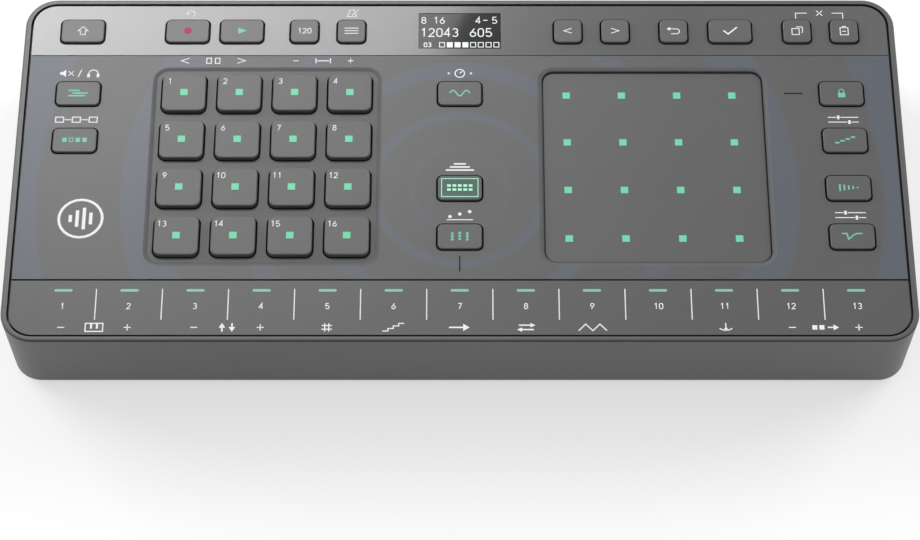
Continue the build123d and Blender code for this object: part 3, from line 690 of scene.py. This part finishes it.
def length_mark():
    return bar(-2.2, 0, 0.36, 1.8) + bar(0, 0, 3.6, 0.36) + bar(2.2, 0, 0.36, 1.8)


def piano_keys():
    whole = frame_of(0, 0, 4.2, 2.2, 0.3)
    return whole + bar(-0.7, 0.3, 0.5, 1.3) + bar(0.7, 0.3, 0.5, 1.3)


def up_and_down():
    up = [[(-2.0, -0.1), (-0.4, -0.1), (-1.2, 1.2)]] + bar(-1.2, -0.65, 0.4, 1.0)
    down = [[(2.0, 0.1), (0.4, 0.1), (1.2, -1.2)]] + bar(1.2, 0.65, 0.4, 1.0)
    return up + down


def sharp_sign():
    rails = bar(-0.5, 0, 0.3, 2.2) + bar(0.5, 0, 0.3, 2.2)
    rungs = bar(0, 0.5, 0.66, 0.3) + bar(0, -0.5, 0.66, 0.3)
    return rails + rungs + join(bar(x, y, 0.56, 0.3) for y in (0.5, -0.5) for x in (-0.95, 0.95))


def stairs():
    lower = [(-2.6, -1.0), (-1.3, -1.0), (-1.3, -0.3), (0, -0.3)]
    upper = [(0, 0.4), (1.3, 0.4), (1.3, 1.1), (2.6, 1.1)]
    return stroke(lower + upper)


def arrow_right():
    return bar(-0.9, 0, 3.4, 0.4) + [[(0.8, -1.0), (2.4, 0), (0.8, 1.0)]]


def two_arrows():
    upper = bar(-0.4, 0.6, 2.8, 0.36) + [[(1.0, 0.0), (2.2, 0.6), (1.0, 1.2)]]
    lower = bar(0.4, -0.6, 2.8, 0.36) + [[(-1.0, 0.0), (-1.0, -1.2), (-2.2, -0.6)]]
    return upper + lower


def zigzag():
    return stroke([(-3.4, -0.9), (-1.7, 0.9), (0, -0.9), (1.7, 0.9), (3.4, -0.9)])


def pendulum():
    return stroke(arc(0, 1.6, 2.4, 230, 310, 10)) + stroke([(0, 1.2), (0, -0.1)]) + disc(0, -0.45, 0.4)


def shifted_steps():
    boxes = bar(-2.6, 0, 1.2, 1.2) + bar(-0.9, 0, 1.2, 1.2)
    return boxes + bar(1.2, 0, 1.4, 0.36) + [[(1.9, -0.8), (3.2, 0), (1.9, 0.8)]]


# Prints and lamps, each a thin closed shape that lies on its part

def lay(name, faces, place, finish, body, rise=print_rise):
    """A thin piece of the given faces, laid at a place and riding on a body."""
    shape = bmesh.new()
    for face in faces:
        shape.faces.new([shape.verts.new((x * MM, y * MM, -print_sink * MM)) for x, y in face])
    bmesh.ops.remove_doubles(shape, verts=shape.verts[:], dist=0.000002)
    raised = bmesh.ops.extrude_face_region(shape, geom=shape.faces[:], use_keep_orig=True)
    corners = [item for item in raised["geom"] if isinstance(item, bmesh.types.BMVert)]
    bmesh.ops.translate(shape, vec=(0, 0, (print_sink + rise) * MM), verts=corners)
    bmesh.ops.recalc_face_normals(shape, faces=shape.faces[:])
    shape.transform(place)
    mesh = bpy.data.meshes.new(name)
    shape.to_mesh(mesh)
    shape.free()
    mesh.materials.append(finish)
    made = bpy.data.objects.new(name, mesh)
    bpy.context.scene.collection.objects.link(made)
    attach(made, body)


def lay_on_key(name, faces, key, finish, rise=print_rise):
    """A print in the middle of a key's top, which moves with the key."""
    lay(name, faces, top_place(key), finish, key, rise)


def lay_on_deck(name, faces, finish):
    """A print drawn in millimetres on the deck."""
    lay(name, faces, deck_place(0, 0), finish, "case")


pad_number_x, pad_number_y = pad_number_place
for i in range(1, pad_count + 1):
    pad = f"pad_{i:02d}"
    lay_on_key(f"{pad}_lamp", bar(0, 0, lamp_side, lamp_side), pad, green_lamp)
    pad_number = number(str(i), x=pad_number_x, y=pad_number_y, line=pad_digit_line)
    lay_on_key(f"{pad}_number", pad_number, pad, white_ink)

top_row_legends = {
    "shift": shift_arrow(), "tempo": number("120"), "menu": menu_bars(),
    "left": chevron(0, 0, -1), "right": chevron(0, 0, 1), "back": back_arrow(), "enter": tick(),
    "copy": copy_sheets(), "paste": clipboard(),
}
for key, faces in top_row_legends.items():
    lay_on_key(f"{key}_legend", faces, f"{key}_button", white_ink)
lay_on_key("record_legend", disc(0, 0, 1.2), "record_button", red_ink)
lay_on_key("play_legend", play_sign(), "play_button", green_ink)

deck_legends = {
    "track": lanes(), "pattern": step_row(), "sound": wave(), "chord": stacked_notes(), "hold": padlock(),
    "arp": rising_steps(), "delay": echoes(), "duck": dip(),
}
for key, faces in deck_legends.items():
    lay_on_key(f"{key}_legend", faces, f"{key}_button", green_ink)
lit_key = "chord_set_button"
lay_on_key("chord_set_legend", key_grid(), lit_key, pale_green)
lay_on_key("chord_set_outline", frame_of(0, 0, 10.75, 6.2, 0.23), lit_key, pale_green)
lay_on_key("chord_set_glow", rounded_bar(0, 0, 12.2, 7.3, 1.3), lit_key, key_glow, rise=glow_rise)

touch_steps = [(i - (touch_rows - 1) / 2) * touch_pitch for i in range(touch_rows)]
touch_lamps = join(bar(x + touch_shift, y, lamp_side, lamp_side) for x in touch_steps for y in touch_steps)
lay("touch_lamps", touch_lamps, top_place("touch_pad"), green_lamp, "case")


# The strip of touch keys: a lamp and a number on each key, lines between them, and signs along the front

def strip_x(key):
    """How far to the right a touch key is, counted from 0, or a place between two of them."""
    return (key - (strip_keys - 1) / 2) * strip_pitch


strip_lamps = join(rounded_bar(strip_x(i), strip_lamp_y, *strip_lamp) for i in range(strip_keys))
lay_on_deck("strip_lamps", strip_lamps, strip_green)
strip_numbers = join(number(str(i + 1), x=strip_x(i), y=strip_number_y) for i in range(strip_keys))
lay_on_deck("strip_numbers", strip_numbers, white_ink)
divider_y = (divider_low + divider_high) / 2
divider_length = divider_high - divider_low
dividers = join(bar(strip_x(i + 0.5), divider_y, divider_line, divider_length) for i in range(strip_keys - 1))
lay_on_deck("strip_dividers", dividers, white_ink)

strip_signs = [
    (0, minus(0, 0)), (0.5, piano_keys()), (1, plus(0, 0)),
    (2, minus(0, 0)), (2.5, up_and_down()), (3, plus(0, 0)),
    (4, sharp_sign()), (5, stairs()), (6, arrow_right()), (7, two_arrows()), (8, zigzag()), (10, pendulum()),
    (11, minus(0, 0)), (11.5, shifted_steps()), (12, plus(0, 0)),
]
strip_labels = join(moved(sign, strip_x(key), strip_label_y, label_scale) for key, sign in strip_signs)
lay_on_deck("strip_labels", strip_labels, white_ink)


# Labels on the deck: over its buttons, over the pad tray, and a badge at the left

def above(button, faces):
    """A label moved to its place over a deck button."""
    x, y = middle_of(button)
    return moved(faces, x, y + label_above_button, label_scale)


button_labels = {
    "track": speaker_and_headphones(), "pattern": chain(), "sound": knob_sign(), "chord_set": stacked_bars(),
    "chord": spread_notes(), "arp": sliders(), "duck": sliders(),
}
deck_labels = join(above(f"{key}_button", faces) for key, faces in button_labels.items())
deck_labels += chevron(-83.2, tray_label_y, -1) + moved(pages(), -74.7, tray_label_y)
deck_labels += chevron(-66.2, tray_label_y, 1) + minus(-49.7, tray_label_y)
deck_labels += moved(length_mark(), -41.4, tray_label_y) + plus(-33.1, tray_label_y)
lay_on_deck("deck_labels", deck_labels, white_ink)
badge_bars = join(bar(x, 0, 1.0, height) for x, height in ((-3.0, 2.4), (-1.0, 5.6), (1.0, 7.4), (3.0, 4.0)))
lay("badge", ring(0, 0, 6.4, 0.8) + badge_bars, deck_place(*badge_place), white_ink, "case")
guide_lines = bar(0, -33.9, 0.4, 5.2) + bar(100.5, 25.2, 5.6, 0.45)
lay_on_deck("guide_lines", guide_lines, dark_ink)

bracket_left = stroke([(102.7, 52.4), (102.7, rear_label_y), (106.2, rear_label_y)])
bracket_right = stroke([(113.8, rear_label_y), (117.1, rear_label_y), (117.1, 52.4)])
rear_signs = moved(undo_arrow(), -82.3, rear_label_y) + moved(metronome(), -33.0, rear_label_y - 0.1)
rear_labels = rear_signs + bracket_left + bracket_right + moved(cross(), 110, rear_label_y)
lay_on_deck("rear_labels", rear_labels, pale_ink)


# What the display shows: plain numbers, and a row of page boxes of which some are filled

upper_size = 2.3
upper_y = 4.0
middle_size = 2.9
middle_y = -0.5
middle_line = 0.34
page_size = 1.5
page_y = -5.0
page_pitch = 2.36
filled_pages = (1, 2, 3)

upper_row = number("8", upper_size, -11.0, upper_y) + number("16", upper_size, -6.3, upper_y)
upper_row += number("4", upper_size, 5.6, upper_y) + bar(7.8, upper_y, 1.3, 0.3)
upper_row += number("5", upper_size, 10.6, upper_y)
middle_row = number("12043", middle_size, -6.2, middle_y, middle_line)
middle_row += number("605", middle_size, 6.4, middle_y, middle_line)
lower_row = number("03", page_size, -9.8, page_y)
for i in range(8):
    x = -5.4 + page_pitch * i
    lower_row += bar(x, page_y, 1.8, 1.9) if i in filled_pages else frame_of(x, page_y, 1.55, 1.65, 0.25)
shown = upper_row + middle_row + lower_row
lay("display_numbers", shown, top_place("display_module"), display_light, "case")


# Marks beside the sockets on the rear wall: plain numbers, a ramp for volume, and off and on for the switch

def rear_wall():
    """Normal of the rear wall, and how far along it the wall lies."""
    faces = [face for face in cad["lower_case"].data.polygons if face.normal.y > 0.95]
    widest = max(faces, key=lambda face: face.area * (face.center.y > 0.05))
    return widest.normal.copy(), widest.center.dot(widest.normal)


wall_normal, wall_reach = rear_wall()
wall_right = -right
wall_up = wall_normal.cross(wall_right)


def lay_on_rear(name, faces, x, z):
    """A white print on the rear wall, at millimetres in the frame, to be read from behind."""
    y = (wall_reach - wall_normal.z * z * MM) / wall_normal.y
    turn = Matrix((wall_right, wall_up, wall_normal)).transposed().to_4x4()
    lay(name, faces, Matrix.Translation((x * MM, y, z * MM)) @ turn, white_ink, "case")


jack_x = [mount["pos_m"][0] / MM for mount in frame["record"]["mounts"] if mount["name"].startswith("jack_")]
for i, x in enumerate(jack_x):
    lay_on_rear(f"jack_number_{i + 1}", number(str(i + 1)), x, rear_mark_height)
volume_ramp = [[(-3.0, -0.8), (3.0, -0.8), (3.0, 1.0)]]
lay_on_rear("volume_mark", volume_ramp, middle_of("volume_knob")[0], volume_mark_height)
lay_on_rear("usb_mark", frame_of(0, 0, 4.4, 1.6), middle_of("usb_socket")[0], rear_mark_height)
switch_marks = number("0", x=2.2) + number("1", x=-2.2)
lay_on_rear("switch_marks", switch_marks, middle_of("power_switch")[0] + 2.0, rear_mark_height)


# Camera

def look(place, aim):
    """The turn that points an object's back axis away from its aim, its side level."""
    back = (place - aim).normalized()
    side = Vector((0, 0, 1)).cross(back).normalized()
    return Matrix((side, back.cross(side), back)).transposed().to_4x4()


aim = deck_point(*camera_aim)
eye = aim + (deck_up * sin(camera_rise) - deck_away * cos(camera_rise)) * (camera_distance * MM)
camera = bpy.data.objects.new("camera", bpy.data.cameras.new("camera"))
camera.data.lens = camera_lens
camera.data.clip_start = 0.01
camera.matrix_world = Matrix.Translation(eye) @ look(eye, aim)
bpy.context.scene.collection.objects.link(camera)
bpy.context.scene.camera = camera


# Light: a white room, a pale floor, two soft lamps behind, and two cards that the glossy strip mirrors

def seen_or_lighting(tree, light_level, seen_level):
    """One level for what only gives light, another for what is seen, also in glass and mirrors."""
    path = add_node(tree, "LightPath").outputs
    seen = larger(tree, path["Is Camera Ray"], path["Is Transmission Ray"])
    seen = larger(tree, seen, path["Is Glossy Ray"])
    return blend(tree, seen, light_level, seen_level)


def place_across(tree, kind):
    """How far to the right a place is, in the given kind of texture space."""
    place = add_node(tree, "TexCoord").outputs[kind]
    return add_node(tree, "SeparateXYZ", {"Vector": place}).outputs["X"]


def flat_mesh(name, corners, finish):
    """A flat piece of the stage, not of the part."""
    mesh = bpy.data.meshes.new(name)
    mesh.from_pydata(corners, [], [range(len(corners))])
    across = mesh.uv_layers.new(name="across")
    for loop, place in zip(across.data, ((0, 0), (1, 0), (1, 1), (0, 1))):
        loop.uv = place
    mesh.materials.append(finish)
    made = bpy.data.objects.new(name, mesh)
    bpy.context.scene.collection.objects.link(made)
    return made


world = bpy.data.worlds.new("room")
world.use_nodes = True
bpy.context.scene.world = world
room_tree = world.node_tree
backdrop = room_tree.nodes["Background"]
backdrop.inputs["Color"].default_value = (1, 1, 1, 1)
from_left_to_right = step(room_tree, place_across(room_tree, "Generated"), -1.0, 1.0)
room_light = blend(room_tree, from_left_to_right, *room_levels)
feed(room_tree, backdrop.inputs["Strength"], seen_or_lighting(room_tree, room_light, 1.0))

floor_finish, floor_tree, floor_shader = surface("floor", 0.9, specular=0.0)
floor_shader.inputs["Emission Color"].default_value = (1, 1, 1, 1)
feed(floor_tree, floor_shader.inputs["Base Color"], seen_or_lighting(floor_tree, *floor_colours))
feed(floor_tree, floor_shader.inputs["Emission Strength"], seen_or_lighting(floor_tree, *floor_glows))
flat_mesh("floor", floor_corners, floor_finish)

card_middle = deck_point(0, card_middle_y)
mirrored_eye = eye - deck_up * (2 * (eye.dot(deck_up) - deck_level))
card_facing = (card_middle - mirrored_eye).normalized()
card_level = card_middle.dot(card_facing) + card_reach * MM


def card_corner(x, y):
    """The corner of a card that the deck mirrors to the camera at a place on it."""
    start = deck_point(x, y)
    ray = (start - mirrored_eye).normalized()
    return start + ray * ((card_level - start.dot(card_facing)) / ray.dot(card_facing))


def card_glow(name, left_level, right_level):
    """Light that changes evenly from the left side of a card to its right."""
    made = bpy.data.materials.new(name)
    made.use_nodes = True
    tree = made.node_tree
    tree.nodes.remove(tree.nodes["Principled BSDF"])
    strength = blend(tree, place_across(tree, "UV"), left_level, right_level)
    glow = add_node(tree, "Emission", {"Strength": strength})
    feed(tree, tree.nodes["Material Output"].inputs["Surface"], glow.outputs["Emission"])
    return made


def mirror_card(name, corners, left_level, right_level):
    """A card between four places on the deck that mirror it, which gives the parts no light of its own."""
    places = [card_corner(x, y) for x, y in corners]
    made = flat_mesh(name, places, card_glow(name, left_level, right_level))
    made.visible_diffuse = False


def soft_lamp(name, place, power):
    """A rectangular lamp that looks at the box, and that nothing mirrors."""
    made = bpy.data.objects.new(name, bpy.data.lights.new(name, "AREA"))
    made.data.shape = "RECTANGLE"
    made.data.size = lamp_width
    made.data.size_y = lamp_height
    made.data.energy = power
    made.visible_glossy = False
    made.matrix_world = Matrix.Translation(place) @ look(Vector(place), lamp_aim)
    bpy.context.scene.collection.objects.link(made)


mirror_card("card", ((-200, 21), (-13.6, 21), (30, 119), (-200, 119)), 17.8, 7.6)
mirror_card("card_end", ((-13.6, 21), (40, 21), (84, 119), (30, 119)), 2.4, 1.1)
soft_lamp("left_lamp", (-1.25, 0.8, 0.6), 17.0)
soft_lamp("right_lamp", (1.25, 0.8, 0.6), 15.0)

bpy.context.scene.view_settings.view_transform = "Standard"
